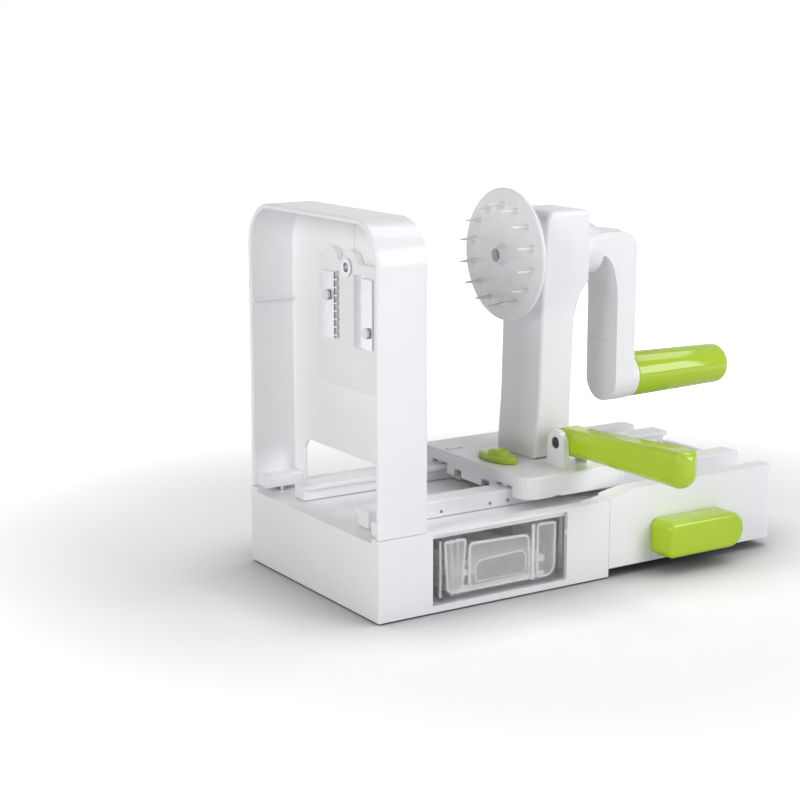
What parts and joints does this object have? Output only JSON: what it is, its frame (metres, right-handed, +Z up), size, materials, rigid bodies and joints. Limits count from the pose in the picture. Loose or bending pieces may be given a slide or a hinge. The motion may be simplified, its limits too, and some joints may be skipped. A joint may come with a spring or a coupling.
{
  "type": "spiralizer",
  "caption": "Hand cranked vegetable spiralizer: arched blade housing, sliding carriage with spiked food holder and crank, folding push handle, clear blade drawer and suction lever.",
  "frame": {"origin": "centre of the bounding box in plan, at the surface that the feet and the suction cup stand on", "axes": "+X along the base from the blade housing to the crank's grip, +Y away from the side with the drawer and the push handle, +Z up"},
  "size_m": [0.298, 0.2086, 0.2172],
  "materials": {
    "white_abs": "semi-gloss moulded white plastic, slightly cool",
    "insert_white": "satin moulded white plastic",
    "lime_green": "glossy lime green plastic",
    "clear_plastic": "clear glossy plastic",
    "blade_steel": "ground stainless steel",
    "steel": "plated steel",
    "nylon": "natural nylon",
    "foot_rubber": "dark rubber",
    "cup_rubber": "soft grey rubber"
  },
  "bodies": {
    "base": {"front_base": "white_abs", "rear_base": "white_abs", "front_cover": "insert_white", "rear_cover": "insert_white", "rail_near": "white_abs", "rail_far": "white_abs", "blade_housing": "white_abs", "suction_cup": "cup_rubber", "rubber_foot_left_near": "foot_rubber", "rubber_foot_left_far": "foot_rubber", "rubber_foot_right_near": "foot_rubber", "rubber_foot_right_far": "foot_rubber", "front_cover_screw_near": "steel", "front_cover_screw_far": "steel", "rear_cover_screw_near": "steel", "rear_cover_screw_far": "steel", "rail_screw_left_near": "steel", "rail_screw_left_far": "steel", "rail_screw_right_near": "steel", "rail_screw_right_far": "steel", "housing_screw_near": "steel", "housing_screw_far": "steel"},
    "insert": {"blade_insert": "insert_white", "straight_blade": "blade_steel", "comb_blade": "blade_steel", "coring_ring": "blade_steel", "blade_screw": "steel", "comb_screw": "steel"},
    "drawer": {"blade_drawer": "clear_plastic", "spare_insert_coarse": "insert_white", "spare_insert_fine": "insert_white", "spare_comb_coarse": "blade_steel", "spare_comb_fine": "blade_steel", "spare_blade_coarse": "blade_steel", "spare_blade_fine": "blade_steel"},
    "carriage": {"carriage": "white_abs", "guide_shoe_near": "nylon", "guide_shoe_far": "nylon", "tower": "white_abs", "tower_cover": "white_abs", "front_bush": "nylon", "rear_bush": "nylon", "handle_pin": "steel", "tower_screw_near": "steel", "tower_screw_far": "steel"},
    "crank": {"food_holder": "white_abs", "holder_screw": "steel", "crank_shaft": "steel", "crank_arm": "white_abs", "crank_screw": "steel", "grip_pin": "steel"},
    "grip": {"crank_grip": "lime_green"},
    "push_handle": {"push_handle": "lime_green"},
    "latch": {"latch_knob": "lime_green", "latch_spindle": "steel"},
    "lever": {"lock_lever": "lime_green", "lever_shaft": "steel"},
    "stem": {"suction_stem": "nylon"}
  },
  "joints": [
    {"name": "carriage_slide", "type": "slide", "parent": "base", "child": "carriage", "axis": [1, 0, 0], "range_m": [-0.083, 0.09]},
    {"name": "crank_spin", "type": "hinge", "parent": "carriage", "child": "crank", "pos_m": [-0.0185, 0.0343, 0.1791], "axis": [1, 0, 0], "continuous": true},
    {"name": "grip_spin", "type": "hinge", "parent": "crank", "child": "grip", "pos_m": [0.0665, 0.0343, 0.0998], "axis": [1, 0, 0], "continuous": true},
    {"name": "push_handle_fold", "type": "hinge", "parent": "carriage", "child": "push_handle", "pos_m": [-0.0043, -0.0013, 0.074], "axis": [-1, 0, 0], "range_deg": [0, 90]},
    {"name": "latch_turn", "type": "hinge", "parent": "carriage", "child": "latch", "pos_m": [-0.028, 0.0278, 0.0608], "axis": [0, 0, 1], "range_deg": [0, 90]},
    {"name": "lever_turn", "type": "hinge", "parent": "base", "child": "lever", "pos_m": [0.0815, -0.0357, 0.0205], "axis": [0, 1, 0], "range_deg": [0, 90]},
    {"name": "stem_slide", "type": "slide", "parent": "base", "child": "stem", "axis": [0, 0, 1], "range_m": [-0.0026, 0]},
    {"name": "drawer_slide", "type": "slide", "parent": "base", "child": "drawer", "axis": [0, -1, 0], "range_m": [0, 0.095]},
    {"name": "insert_pull", "type": "slide", "parent": "base", "child": "insert", "axis": [-1, 0, 0], "range_m": [0, 0.015]}
  ],
  "couplings": [
    {"joint": "stem_slide", "follows": "lever_turn", "m_per_rad": -0.0015915}
  ]
}
